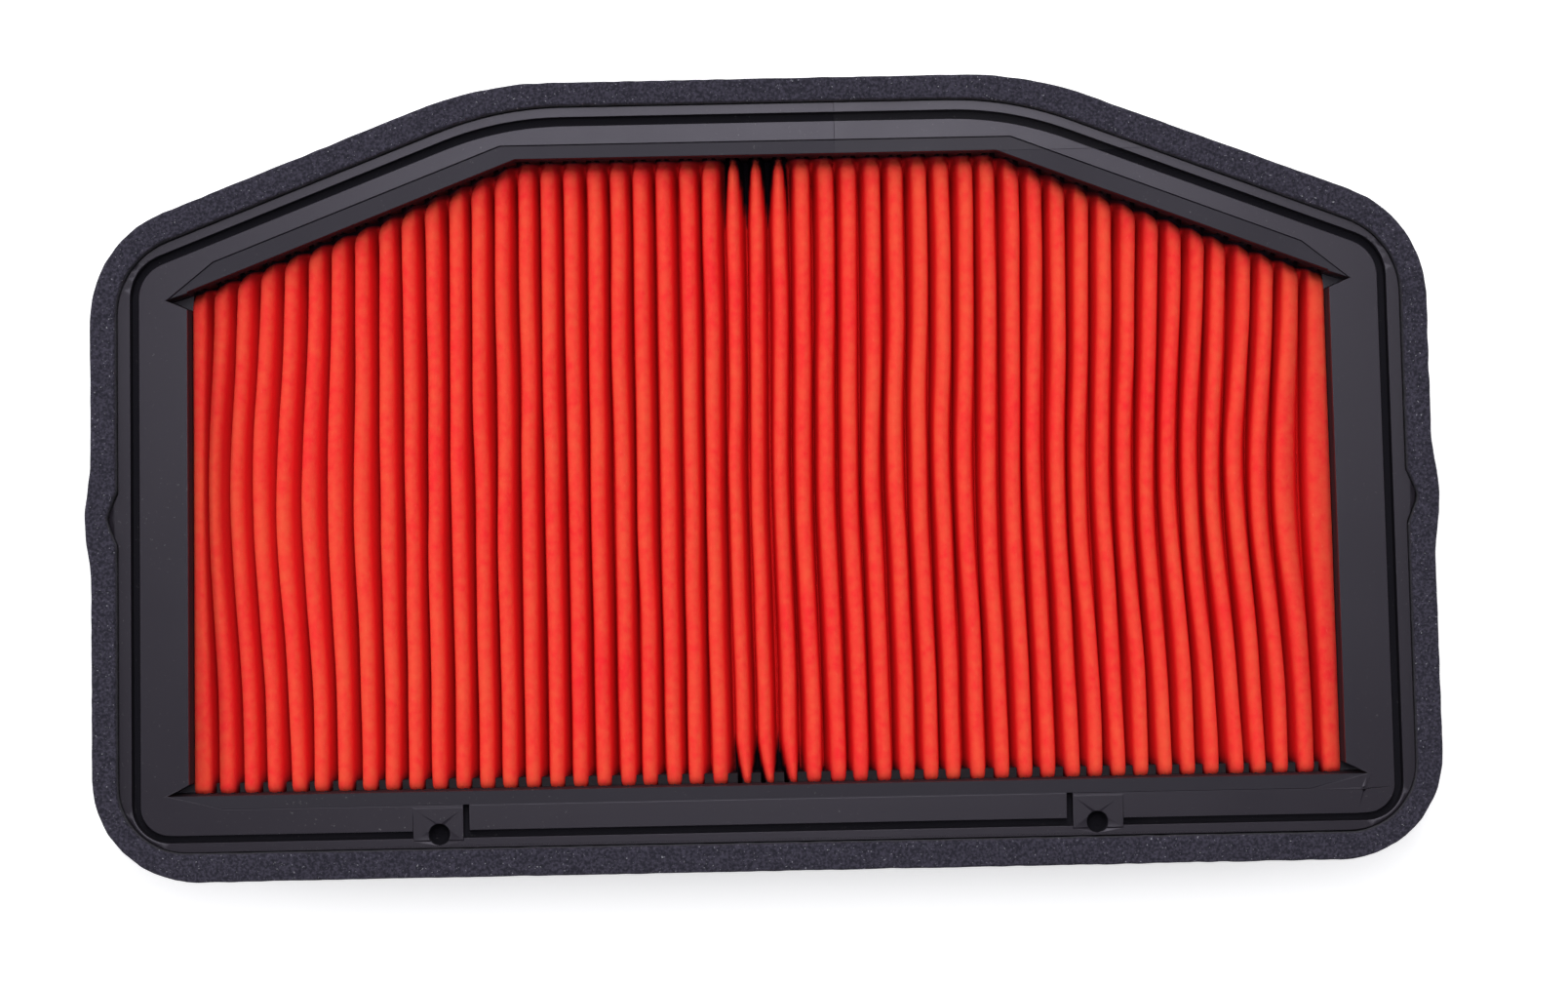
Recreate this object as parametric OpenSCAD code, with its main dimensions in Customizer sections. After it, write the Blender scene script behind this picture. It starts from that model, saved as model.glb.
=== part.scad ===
// Panel air filter of a litre-class sport motorcycle.
// +Z points to the dirty side, the side that seals against the air box lid. +Y points to the
// tapered back edge, and +X to the right as seen from the lid. The origin is at the centre of the
// outline, on the lowest face of the clean side.
// Four numbers in square brackets belong to the [back edge, slopes, sides, front edge].

/* [Outline] */
// Length over the two side bumps of the gasket
overall_l = 324; // [270:1:400]
// Width from the back edge to the front edge
overall_w = 189.6; // [155:0.2:235]
// Height from the clean side to the top of the gasket
overall_h = 38; // [31:0.5:50]
// Length of the straight back edge, corner to corner
back_l = 130.6; // [80:0.2:180]
// Angle of the two slopes to the back edge
slope_deg = 20.9; // [12:0.1:26]
// Angle by which the sides open towards the front edge
flare_deg = 0.9; // [0:0.1:2]
// Corner radii of the gasket at the back, shoulders and front corners
corner_r = [89, 28, 25]; // [18:1:110]
// Corner radii of the rim inside the gasket
rim_r = [82, 19, 16]; // [10:1:100]
// Corner radii of the seal groove's outer wall
groove_r = [79, 11, 9]; // [5:1:96]

/* [Gasket] */
// Width of the foam on each edge
foam_w = [6.0, 7.0, 6.4, 7.1]; // [4:0.1:10]
// Height of the foam strip
foam_h = 7.4; // [4:0.1:10]
// How far the foam stands above the frame before it is squeezed
foam_proud = 2.6; // [0.5:0.1:4]
// Thickness of the adhesive tape under the foam
tape_t = 0.2; // [0.1:0.05:0.5]
// How far the tape and the flange stay back from the foam's outer edge
foam_overhang = 0.5; // [0.2:0.1:1.5]
// How far each side bump of the gasket stands out
bump_out = 1.5; // [0.5:0.1:2.5]
// Length of each side bump
bump_l = 30; // [20:1:40]

/* [Upper frame] */
// Width of the rim inside the gasket
rim_w = [2.4, 2.3, 3.1, 2.4]; // [1.6:0.1:5]
// Width of the seal groove
groove_w = [2.1, 2.1, 2.05, 1.7]; // [1:0.05:4]
// Depth of the seal groove
groove_d = 3.4; // [1:0.1:3.6]
// Width of the flat panel inside the groove
panel_w = [4.45, 4.05, 11.55, 6.1]; // [2.5:0.05:16]
// Width of the lowered strip round the window, on the back, slopes and front
strip_w = [3.25, 4.3, 0, 3.3]; // [0:0.05:6]
// Drop of the lowered strip below the panel
strip_d = 0.4; // [0.2:0.05:1.5]
// Thickness of the panel
panel_t = 4.5; // [3.5:0.1:6]
// Thickness of the flange under the gasket
flange_t = 2.6; // [1.6:0.1:4]
// Wall of the rim and of the collar
frame_wall = 2.4; // [1.6:0.1:3.5]
// Height of the collar below the underside of the panel
collar_h = 9; // [6:0.5:12]
// Thickness of the stiffening ribs under the panel
rib_t = 1.6; // [1:0.1:2.5]
// Spacing of the stiffening ribs
rib_step = 29; // [20:1:50]

/* [Ears] */
// How far the back ears of the window reach past the pocket's side walls
back_ear = 5.2; // [3:0.1:6]
// Length of a back ear along the side wall
back_ear_l = 4.6; // [3:0.1:8]
// How far the front ears reach past the side walls
front_ear = 5.4; // [3:0.1:6]
// Length of a front ear along the side wall
front_ear_l = 3.1; // [2:0.1:8]
// Depth of the ears below the panel
ear_d = 12; // [5:0.5:12]

/* [Locating sockets] */
// Distance between the two sockets
socket_spacing = 157.4; // [120:0.2:190]
// Diameter of a socket
socket_d = 5.1; // [4:0.1:6]
// Straight depth of a socket above its round bottom
socket_l = 3.4; // [2:0.1:5]
// Length of the flat boss round a socket
boss_l = 12; // [10:0.1:16]
// Height of the boss above the panel
boss_h = 0.25; // [0.1:0.05:0.6]
// Width of the short cross groove beside each boss
cross_w = 1.4; // [0.8:0.1:2.5]
// How far the inner edge of each boss lies outside the middle of its place
boss_shift = 0.2; // [0:0.1:1]
// How far each boss runs over the rim, and how far short of the crease it stops
boss_over = 0.6; // [0.2:0.1:1.5]
// Diameter of the gate mark beside the right front ear
gate_d = 1; // [0.6:0.1:2]
// Place of the gate mark, inwards and forwards of the tip of that ear
gate_at = [1.2, 3.6]; // [0.5:0.1:6]
// Height of the gate mark
gate_h = 0.2; // [0.1:0.05:0.5]

/* [Rim tabs] */
// Length of the rounded tab on each side of the rim
tab_l = 12.5; // [8:0.1:20]
// How far a tab stands out of the rim
tab_out = 2.3; // [1:0.1:3]
// Distance of the tabs in front of the frame's middle
tab_front = 7.8; // [0:0.1:30]

/* [Pleated media] */
// Number of pleats
pleats = 49; // [41:2:57]
// Thickness of the nonwoven sheet
sheet_t = 1.2; // [0.8:0.05:1.6]
// Depth of the pleat crests below the panel
recess_d = 7.8; // [5:0.1:12]
// Width across the folded crest of a pleat
crest_w = 2.9; // [2:0.1:3.6]
// Gap between the last pleat and the side wall, at the back of the wall
end_gap = 0.15; // [0.1:0.05:0.6]
// How far the pleat ends reach under the frame
grip = 1.6; // [1:0.1:2.5]
// Room between the crests and the underside of the window's edge
lip_gap = 0.4; // [0.2:0.1:1]

/* [Seals and bonds] */
// Compound behind the pleat ends
seal_back = 1.6; // [1:0.1:3]
// How far the front compound shows between the pleats, inside the window
seal_show = 2.2; // [0:0.1:4]
// How far the compound that shows stays below the crests
seal_drop = 3.5; // [1:0.1:8]
// Number of spacer beads on the clean side
beads = 3; // [2:1:5]
// Width of a spacer bead
bead_w = 3; // [2:0.5:5]
// Height of a spacer bead
bead_h = 4.5; // [3:0.5:8]
// How far the beads reach below the folds
bead_below = 0.5; // [0.2:0.1:1]
// How far the end bonds stay back from the crests
bond_drop = 3; // [1:0.5:8]
// Gap between an end bond and the pieces beside it
bond_gap = 1; // [0.5:0.1:3]

/* [Lower frame and grid] */
// Wall of the skirt
skirt_wall = 2.2; // [1.6:0.1:3.5]
// How far the joint flange reaches out of the skirt
joint_out = 3.2; // [2:0.1:5]
// Thickness of the joint flange
joint_t = 2.4; // [1.6:0.1:4]
// How far the bottom ledge reaches inwards
ledge_w = 3.2; // [2:0.1:5]
// Thickness of the bottom ledge
ledge_t = 1.6; // [1:0.1:3]
// Thickness of the support grid
grid_t = 2.4; // [1.6:0.1:4]
// Width of the grid's border
grid_border = 5; // [4:0.5:8]
// Width of the grid's bars
bar_w = 2.4; // [1.6:0.1:4]
// Number of short bars
short_bars = 9; // [5:2:13]
// Number of long bars
long_bars = 3; // [2:1:5]
// Wire diameter of the flame screen
wire_d = 0.5; // [0.3:0.05:0.8]
// Mesh of the flame screen
mesh = 3; // [2.4:0.1:6]
// Play between pieces that drop into each other
play = 0.1; // [0.05:0.01:0.2]

/* [Hidden] */
eps = 0.01;
plastic = [0.14, 0.135, 0.155];
black_foam = [0.16, 0.165, 0.2];
red_felt = [0.9, 0.17, 0.13];
compound = [0.09, 0.085, 0.1];

// Heights, from the top down and then from the bottom up.
panel_z = overall_h - foam_proud;
foam_z = overall_h - foam_h;
flange_top = foam_z - tape_t;
flange_z = flange_top - flange_t;
under_z = panel_z - panel_t;
joint_z = under_z - collar_h;
grid_z = ledge_t;
screen_z = grid_z + grid_t;
bead_z = screen_z + 2 * wire_d + play;
valley_z = bead_z + bead_below;
crest_z = panel_z - recess_d;
lip_z = crest_z + lip_gap;

// Distances in from the gasket's outer edge, for each of the four edges.
rim_in = foam_w;
groove_in = rim_in + rim_w;
panel_in = groove_in + groove_w;
crease_in = panel_in + panel_w;
window_in = crease_in + strip_w;
pleat_in = window_in - [grip, grip, 0, grip];
pocket_in = pleat_in - [seal_back, seal_back, 0, seal_back];

// The outline is six straight lines, each held as its normal and its distance from the origin.
half_w = overall_w / 2;
half_l = overall_l / 2 - bump_out - tab_front * tan(flare_deg);
slope_c = back_l / 2 * sin(slope_deg) + half_w * cos(slope_deg);
function back_line(in) = [0, 1, half_w - in[0]];
function slope_line(in) = [sin(slope_deg), cos(slope_deg), slope_c - in[1]];
function side_line(in) = [cos(flare_deg), sin(flare_deg), half_l * cos(flare_deg) - in[2]];
function front_line(in) = [0, -1, half_w - in[3]];
function meet(a, b) = let (d = a[0] * b[1] - a[1] * b[0])
    [(a[2] * b[1] - b[2] * a[1]) / d, (a[0] * b[2] - b[0] * a[2]) / d];
function flip(p) = [-p[0], p[1]];
function same(d) = [d, d, d, d];

// The right half of an outline, from the back edge round to the front edge.
function right_half(in) = [meet(back_line(in), slope_line(in)),
    meet(slope_line(in), side_line(in)), meet(side_line(in), front_line(in))];
function outline(in) = let (r = right_half(in))
    [r[0], r[1], r[2], flip(r[2]), flip(r[1]), flip(r[0])];
function side_x(in, y) = (side_line(in)[2] - y * sin(flare_deg)) / cos(flare_deg);
function slope_x(in, y) = (slope_line(in)[2] - y * cos(slope_deg)) / sin(slope_deg);

// The outline again with its corners rounded to the radii [back, shoulder, front]. A corner's arc
// turns from the direction that one edge faces to the direction that the next one faces.
facing = [90, 90 - slope_deg, flare_deg, -90];
arc_steps = 14;
function arc(in, r, k) = [for (i = [0:arc_steps])
    let (a = facing[k] + (facing[k + 1] - facing[k]) * i / arc_steps)
    right_half(in + same(r[k]))[k] + r[k] * [cos(a), sin(a)]];
// What stands out of the side is a list of points between the shoulder's arc and the front arc.
module rounded(in, r, side = []) {
    half = concat(arc(in, r, 0), arc(in, r, 1), side, arc(in, r, 2));
    polygon(concat(half, [for (i = [len(half) - 1:-1:0]) flip(half[i])]));
}

module sharp(in) {
    polygon(outline(in));
}

function shrunk(r, by) = [for (x = r) max(x - by, 1)];
panel_r = shrunk(groove_r, groove_w[2]);

// The part of a layer that lies on the right or left of the middle.
module on_both_sides() {
    children();
    mirror([1, 0, 0]) children();
}

// ---- Gasket ----

// A point on the side, at the place t from -1 to 1 along a feature of the given length and height.
function on_side(in, length, t, out) = let (y = -tab_front - t * length / 2)
    [side_x(in, y) + out, y];

// The outer edge of the foam has a shallow bump at each end, where the rim's tab pushes it out.
module foam_outer(in) {
    rounded(same(in), shrunk(corner_r, in), [for (t = [-1:0.125:1])
        on_side(same(in), bump_l, t, bump_out * (1 + cos(180 * t)) / 2)]);
}

// The rim with its two rounded tabs; grow widens the whole shape.
module rim_outer(grow) {
    blunt = 0.2;
    function tip(t) = (norm([1, blunt]) - norm([t, blunt])) / (norm([1, blunt]) - blunt);
    rounded(rim_in - same(grow), shrunk(rim_r, -grow), [for (t = [-1:0.1:1])
        on_side(rim_in - same(grow), tab_l + 2 * grow, t, tab_out * tip(t))]);
}

module foam_gasket() {
    color(black_foam) translate([0, 0, foam_z]) linear_extrude(foam_h) difference() {
        foam_outer(0);
        rim_outer(play);
    }
}

module gasket_tape() {
    color("gainsboro") translate([0, 0, flange_top]) linear_extrude(tape_t) difference() {
        foam_outer(foam_overhang);
        rim_outer(play);
    }
}

// ---- Upper frame ----

// The window is narrower than the pocket on the back, slopes and front, so that its edge holds
// the pleat ends, and a pointed ear runs past the side wall at each corner.
back_corner = meet(slope_line(window_in), side_line(window_in));
front_corner = meet(side_line(window_in), front_line(window_in));
back_tip = [back_corner[0] + back_ear, back_corner[1] - back_ear * tan(slope_deg)];
front_tip = [front_corner[0] + front_ear, front_corner[1]];
back_ear_end = [side_x(window_in, back_corner[1] - back_ear_l), back_corner[1] - back_ear_l];
front_ear_end = [side_x(window_in, front_corner[1] + front_ear_l), front_corner[1] + front_ear_l];

module ears() {
    on_both_sides() {
        polygon([back_corner - [1, 0], back_tip, back_ear_end - [1, 0]]);
        polygon([front_corner - [1, 0], front_tip, front_ear_end - [1, 0]]);
    }
}

// The lowered strip narrows over this length towards the tip of each ear, and runs out into the
// window's edge just before it. Its cut carries on a little way into the open window.
strip_fade = 14;
fade_end = 0.5;
fade_over = 1.01;
into_window = 1;
back_crease = meet(back_line(crease_in), slope_line(crease_in));
slope_dir = [cos(slope_deg), -sin(slope_deg)];
slope_out = [sin(slope_deg), cos(slope_deg)];
back_fade_edge = back_tip - strip_fade * slope_dir;
back_fade_crease = back_fade_edge + strip_w[1] * slope_out;
back_fade_end = back_fade_crease
    + fade_over * (back_tip - fade_end * slope_dir - back_fade_crease);
back_fade_in = back_fade_edge - into_window * slope_out;
front_fade_edge = front_tip - [strip_fade, 0];
front_fade_crease = front_fade_edge - [0, strip_w[3]];
front_fade_end = front_fade_crease
    + fade_over * (front_tip - [fade_end, 0] - front_fade_crease);
front_fade_in = front_fade_edge + [0, into_window];

// Polygon made of the points on the right and their mirror images on the left.
module both_halves(right) {
    polygon(concat(right, [for (p = reversed(right)) flip(p)]));
}

module strip_cut() {
    translate([0, 0, panel_z - strip_d]) linear_extrude(panel_t) {
        both_halves([back_crease, back_fade_crease, back_fade_end, back_fade_in]);
        both_halves([front_fade_crease, front_fade_end, front_fade_in]);
    }
}

socket_y = -(half_w - (groove_in[3] + panel_in[3]) / 2);
boss_in = socket_spacing / 2 - boss_l / 2 + boss_shift;

module socket_bosses() {
    on_both_sides() translate([boss_in, -half_w + groove_in[3] - boss_over, under_z])
        cube([boss_l, crease_in[3] - groove_in[3], panel_t + boss_h]);
}

// Bore with a round bottom; its mouth is open above the boss.
module socket_bore() {
    translate([socket_spacing / 2, socket_y, panel_z + boss_h - socket_l]) {
        cylinder(h = socket_l + 1, d = socket_d, $fn = 48);
        intersection() {
            sphere(d = socket_d, $fn = 48);
            translate([-socket_d, -socket_d, -2]) cube([2 * socket_d, 2 * socket_d, 2 + eps]);
        }
    }
}

module upper_frame_solid() {
    // flange under the gasket
    translate([0, 0, flange_z]) linear_extrude(flange_t) foam_outer(foam_overhang);
    // rim and panel
    translate([0, 0, flange_z]) linear_extrude(panel_z - flange_z) rim_outer(0);
    // collar that holds the pleat ends, and the blocks round the ears
    translate([0, 0, joint_z]) linear_extrude(under_z - joint_z + eps) {
        sharp(pocket_in - same(frame_wall));
        on_both_sides() {
            ear_block(back_corner, back_tip, back_ear_end);
            ear_block(front_corner, front_tip, front_ear_end);
        }
    }
    socket_bosses();
    // gate mark left by the mould
    translate([front_tip[0] - gate_at[0], front_tip[1] - gate_at[1], under_z])
        cylinder(h = panel_t + gate_h, d = gate_d, $fn = 24);
}

// The plan of the block round one ear.
module ear_block(corner, tip, end) {
    low = min(corner[1], tip[1], end[1]) - frame_wall;
    high = max(corner[1], tip[1], end[1]) + frame_wall;
    translate([corner[0] - 1, low]) square([tip[0] - corner[0] + 1 + frame_wall, high - low]);
}

// The hollow under the panel, with ribs left standing in it.
module underside_hollow() {
    translate([0, 0, flange_z - 1]) linear_extrude(under_z - flange_z + 1) difference() {
        rounded(rim_in + same(frame_wall), shrunk(rim_r, frame_wall));
        sharp(pocket_in - same(frame_wall));
        on_both_sides() {
            ear_block(back_corner, back_tip, back_ear_end);
            ear_block(front_corner, front_tip, front_ear_end);
            translate([socket_spacing / 2, socket_y]) circle(d = socket_d + 2 * frame_wall, $fn = 48);
        }
        for (x = [0:rib_step:half_l]) on_both_sides()
            translate([x - rib_t / 2, -half_w]) square([rib_t, overall_w]);
        for (i = [-2:1]) translate([-half_l, (i + 0.5) * rib_step - rib_t / 2])
            square([2 * half_l, rib_t]);
    }
}

module seal_groove() {
    translate([0, 0, panel_z - groove_d]) linear_extrude(groove_d + 1) difference() {
        rounded(groove_in, groove_r);
        rounded(panel_in, panel_r);
        // the groove stops at each socket boss
        on_both_sides() translate([boss_in, -half_w]) square([boss_l, half_w]);
    }
    // cross groove on the inner side of each boss
    on_both_sides() translate([boss_in - cross_w, -half_w + groove_in[3], panel_z - groove_d])
        cube([cross_w, crease_in[3] - groove_in[3], groove_d + 1]);
}

module upper_frame() {
    color(plastic) difference() {
        upper_frame_solid();
        underside_hollow();
        seal_groove();
        strip_cut();
        on_both_sides() socket_bore();
        // window
        translate([0, 0, lip_z]) linear_extrude(overall_h) sharp(window_in);
        // ears
        translate([0, 0, panel_z - ear_d]) linear_extrude(overall_h) ears();
        // pocket for the pleat ends
        translate([0, 0, joint_z - 1]) linear_extrude(lip_z - joint_z + 1) sharp(pocket_in);
    }
}

// ---- Lower frame, grid and screen ----

module lower_frame() {
    color(plastic) difference() {
        union() {
            linear_extrude(joint_z) sharp(pocket_in - same(skirt_wall));
            translate([0, 0, joint_z - joint_t]) linear_extrude(joint_t)
                sharp(pocket_in - same(skirt_wall + joint_out));
        }
        translate([0, 0, -1]) linear_extrude(joint_z) sharp(pocket_in + same(ledge_w));
        translate([0, 0, ledge_t]) linear_extrude(joint_z) sharp(pocket_in);
    }
}

module support_grid() {
    edge = pocket_in + same(play);
    inner = edge + same(grid_border);
    corner = meet(side_line(inner), front_line(inner));
    color(plastic) translate([0, 0, grid_z]) linear_extrude(grid_t) {
        difference() {
            sharp(edge);
            sharp(inner);
        }
        intersection() {
            sharp(edge);
            union() {
                for (i = [1:short_bars]) {
                    x = corner[0] * (2 * i / (short_bars + 1) - 1);
                    translate([x - bar_w / 2, -half_w]) square([bar_w, overall_w]);
                }
                for (i = [1:long_bars]) {
                    y = corner[1] + i * (half_w - inner[0] - corner[1]) / (long_bars + 1);
                    translate([-half_l, y - bar_w / 2]) square([2 * half_l, bar_w]);
                }
            }
        }
    }
}

// Two layers of straight wires, each cut to the outline of the pocket.
module flame_screen() {
    edge = pocket_in + same(play);
    top_y = half_w - edge[0];
    low_y = -half_w + edge[3];
    max_x = side_x(edge, low_y);
    corner = meet(slope_line(edge), side_line(edge));
    function wire_top(x) = min(top_y, (slope_line(edge)[2] - x * sin(slope_deg)) / cos(slope_deg));
    color("silver") {
        for (x = [0:mesh:side_x(edge, corner[1]) - wire_d]) for (s = x > 0 ? [-1, 1] : [1])
            translate([s * x, low_y, screen_z + wire_d / 2])
                rotate([-90, 0, 0]) cylinder(h = wire_top(x + wire_d) - low_y, d = wire_d, $fn = 16);
        for (y = [low_y + wire_d:mesh:top_y - wire_d]) {
            reach = min(side_x(edge, y + wire_d), slope_x(edge, y + wire_d));
            translate([-reach, y, screen_z + 1.5 * wire_d + play / 2])
                rotate([0, 90, 0]) cylinder(h = 2 * reach, d = wire_d, $fn = 16);
        }
    }
}

// ---- Media, seals and bonds ----

// Edge of the folded sheet from left to right: out is half the width of a fold on this face, in
// is half the width of a fold on the other face, and top and bottom are the heights of both.
function fold_edge(out, in, top, bottom) = let (x0 = -pitch * (pleats - 1) / 2)
    [for (i = [0:pleats - 1], k = (i < pleats - 1) ? [0, 1, 2, 3] : [0, 1])
        k == 0 ? [x0 + i * pitch - out, top] :
        k == 1 ? [x0 + i * pitch + out, top] :
        k == 2 ? [x0 + (i + 0.5) * pitch - in, bottom] :
                 [x0 + (i + 0.5) * pitch + in, bottom]];

crest_out = crest_w / 2;
media_x = side_x(window_in, back_corner[1]) - end_gap;
pitch = 2 * (media_x - crest_out) / (pleats - 1);
crest_in = crest_out - sheet_t;
upper_edge = fold_edge(crest_out, crest_in, crest_z, valley_z + sheet_t);
lower_edge = fold_edge(crest_in, crest_out, crest_z - sheet_t, valley_z);
function reversed(a) = [for (i = [len(a) - 1:-1:0]) a[i]];

// The end panels of the sheet hang straight down, against the side walls.
media_section = concat([[-media_x, valley_z]], upper_edge, [[media_x, valley_z]],
    [[media_x - sheet_t, valley_z]], reversed(lower_edge), [[-media_x + sheet_t, valley_z]]);

// A section drawn in X and Z, drawn out along the whole width of the filter.
module along_y(points) {
    translate([0, half_w, 0]) rotate([90, 0, 0]) linear_extrude(overall_w) polygon(points);
}

// An edge that is moved this far out is clear of the pocket.
clear_of = 60;

// A layer of the pocket between two heights.
module layer(in, low, high) {
    translate([0, 0, low]) linear_extrude(high - low) sharp(in);
}

// The folded sheet, with its ends cut to the line that the pleat ends reach under the frame.
module folded_sheet() {
    intersection() {
        along_y(media_section);
        layer(pleat_in - [0, 0, clear_of, 0], valley_z - 1, crest_z + 1);
    }
}

module pleated_media() {
    color(red_felt) folded_sheet();
}

// The compound fills the pocket behind the pleat ends and the spaces between them. Under the
// window's edge it reaches up to the frame, and what shows in the window stays lower.
module pleat_seal(edge_in, shown) {
    color(compound) difference() {
        union() {
            layer(pocket_in, bead_z, crest_z - seal_drop);
            difference() {
                layer(pocket_in, bead_z, lip_z);
                layer(edge_in, bead_z - 1, lip_z + 1);
            }
        }
        layer(edge_in + shown, bead_z - 1, lip_z + 1);
        folded_sheet();
    }
}

module back_pleat_seal() {
    pleat_seal(window_in - [0, 0, clear_of, clear_of], same(0));
}

module front_pleat_seal() {
    pleat_seal(window_in - [clear_of, clear_of, clear_of, 0], [0, 0, 0, seal_show]);
}

// The end panels of the sheet are bonded to the side walls.
module end_bond() {
    low_y = -half_w + window_in[3] + seal_show + bond_gap;
    color(compound) intersection() {
        difference() {
            layer(pocket_in, valley_z, crest_z - bond_drop);
            translate([0, -half_w, 0]) cube([media_x, overall_w, overall_h]);
        }
        translate([pitch, low_y, 0])
            cube([half_l, back_ear_end[1] - bond_gap - low_y, overall_h]);
    }
}

module right_end_bond() {
    end_bond();
}

module left_end_bond() {
    mirror([1, 0, 0]) end_bond();
}

// Each bead runs across the clean side and fills the bottom of the spaces between the folds.
module spacer_beads() {
    below = concat([[-media_x + sheet_t, bead_z], [-media_x + sheet_t, valley_z]], lower_edge,
        [[media_x - sheet_t, valley_z], [media_x - sheet_t, bead_z]]);
    low_y = -half_w + window_in[3];
    span = back_corner[1] - low_y;
    color("ivory") for (i = [1:beads]) intersection() {
        along_y(below);
        translate([-half_l, low_y + span * (2 * i - 1) / (2 * beads) - bead_w / 2, bead_z])
            cube([2 * half_l, bead_w, bead_h]);
    }
}

upper_frame();
lower_frame();
foam_gasket();
gasket_tape();
pleated_media();
back_pleat_seal();
front_pleat_seal();
left_end_bond();
right_end_bond();
spacer_beads();
flame_screen();
support_grid();
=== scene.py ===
from math import cos, pi, radians, sin, tan

import bmesh
import bpy
import numpy as np
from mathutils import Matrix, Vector, noise


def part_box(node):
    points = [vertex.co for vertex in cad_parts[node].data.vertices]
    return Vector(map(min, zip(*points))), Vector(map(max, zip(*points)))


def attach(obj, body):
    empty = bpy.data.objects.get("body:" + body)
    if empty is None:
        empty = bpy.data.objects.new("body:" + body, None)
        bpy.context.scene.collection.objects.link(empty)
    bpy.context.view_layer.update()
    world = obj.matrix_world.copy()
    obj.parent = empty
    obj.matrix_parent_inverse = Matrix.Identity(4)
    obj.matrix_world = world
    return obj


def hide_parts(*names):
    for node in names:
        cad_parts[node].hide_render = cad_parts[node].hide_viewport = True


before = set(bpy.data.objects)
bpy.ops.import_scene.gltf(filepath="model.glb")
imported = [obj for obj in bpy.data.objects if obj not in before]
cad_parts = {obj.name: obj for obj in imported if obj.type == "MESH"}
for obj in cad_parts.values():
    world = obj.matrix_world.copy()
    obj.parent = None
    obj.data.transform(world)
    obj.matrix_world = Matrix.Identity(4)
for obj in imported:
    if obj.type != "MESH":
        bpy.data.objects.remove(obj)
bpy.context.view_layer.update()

# ---------------------------------------------------------------- camera
# The camera looks straight down on the dirty side from a little under a metre, with the filter
# turned slightly and a little off the middle.
LENS_HEIGHT = 0.95
VIEW_WIDTH = 0.3740
SENSOR = 36.0
OFF_MIDDLE = (0.0053, -0.0043)
ROLL = radians(-1.13)

gasket_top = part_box("foam_gasket")[1][2]
camera_data = bpy.data.cameras.new("camera")
camera_data.sensor_width = SENSOR
camera_data.lens = SENSOR * LENS_HEIGHT / VIEW_WIDTH
camera_data.clip_start = 0.01
camera = bpy.data.objects.new("camera", camera_data)
camera.location = (*OFF_MIDDLE, gasket_top + LENS_HEIGHT)
camera.rotation_euler = (0, 0, ROLL)
bpy.context.collection.objects.link(camera)
bpy.context.scene.camera = camera
bpy.context.scene.view_settings.view_transform = "Standard"

# ---------------------------------------------------------------- upper frame
# The upper frame is one black polypropylene moulding with a satin skin. Its sharp edges are
# slightly broken, and the skin has faint flow marks, dust and a witness line of the mould.
PLASTIC = (0.0150, 0.0125, 0.0175)
# Near-black painted into the deep parts below the panel as painted shade.
RECESS_SHADE = (0.0060, 0.0055, 0.0085)
PLASTIC_ROUGHNESS = 0.31
DUST_COLOUR = (0.25, 0.24, 0.24)
BOSS_HEIGHT = 0.00025
EDGE_BREAK = 0.00016
SHARP = radians(28)
MERGE = 2e-6
STRIP_DEPTHS = (0.00032, 0.00018)
GROOVE_DEPTHS = (0.0021, 0.0011)
MATT_FROM, MATT_FULL = 0.0262, 0.0272
WITNESS_X = 0.019
WITNESS_Y = 0.0765
WITNESS_WIDTH = 0.0001


class Reckon:
    """Arithmetic on the sockets of one node tree: each sum or product becomes a Math node."""

    def __init__(self, tree, socket):
        self.tree, self.socket = tree, socket

    def math(self, operation, *others):
        node = self.tree.nodes.new("ShaderNodeMath")
        node.operation = operation
        for slot, value in zip(node.inputs, (self,) + others):
            if isinstance(value, Reckon):
                self.tree.links.new(value.socket, slot)
            else:
                slot.default_value = value
        return Reckon(self.tree, node.outputs[0])

    def __add__(self, other):
        return self.math("ADD", other)

    def __sub__(self, other):
        return self.math("SUBTRACT", other)

    def __rsub__(self, other):
        return self.math("MULTIPLY_ADD", -1.0, other)

    def __mul__(self, other):
        return self.math("MULTIPLY", other)

    def __truediv__(self, other):
        return self.math("DIVIDE", other)

    def __abs__(self):
        return self.math("ABSOLUTE")

    __radd__, __rmul__ = __add__, __mul__

    def at_least(self, other):
        return self.math("MAXIMUM", other)

    def at_most(self, other):
        return self.math("MINIMUM", other)

    def share(self):
        return self.at_least(0.0).at_most(1.0)

    def power(self, exponent):
        return self.math("POWER", exponent)

    def rises(self, low, high):
        """0 below low, 1 above high, and smooth between them."""
        node = self.tree.nodes.new("ShaderNodeMapRange")
        node.interpolation_type = "SMOOTHSTEP"
        node.inputs["From Min"].default_value = low
        node.inputs["From Max"].default_value = high
        self.tree.links.new(self.socket, node.inputs["Value"])
        return Reckon(self.tree, node.outputs["Result"])


def put(tree, kind, settings=None, **sockets):
    """Adds a node. A socket takes a plain value, another node's socket or a Reckon."""
    node = tree.nodes.new(kind)
    for name, value in (settings or {}).items():
        setattr(node, name, value)
    for name, value in sockets.items():
        slot = node.inputs[name.replace("_", " ")]
        if isinstance(value, Reckon):
            value = value.socket
        if isinstance(value, bpy.types.NodeSocket):
            tree.links.new(value, slot)
        else:
            slot.default_value = value
    return node


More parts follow.
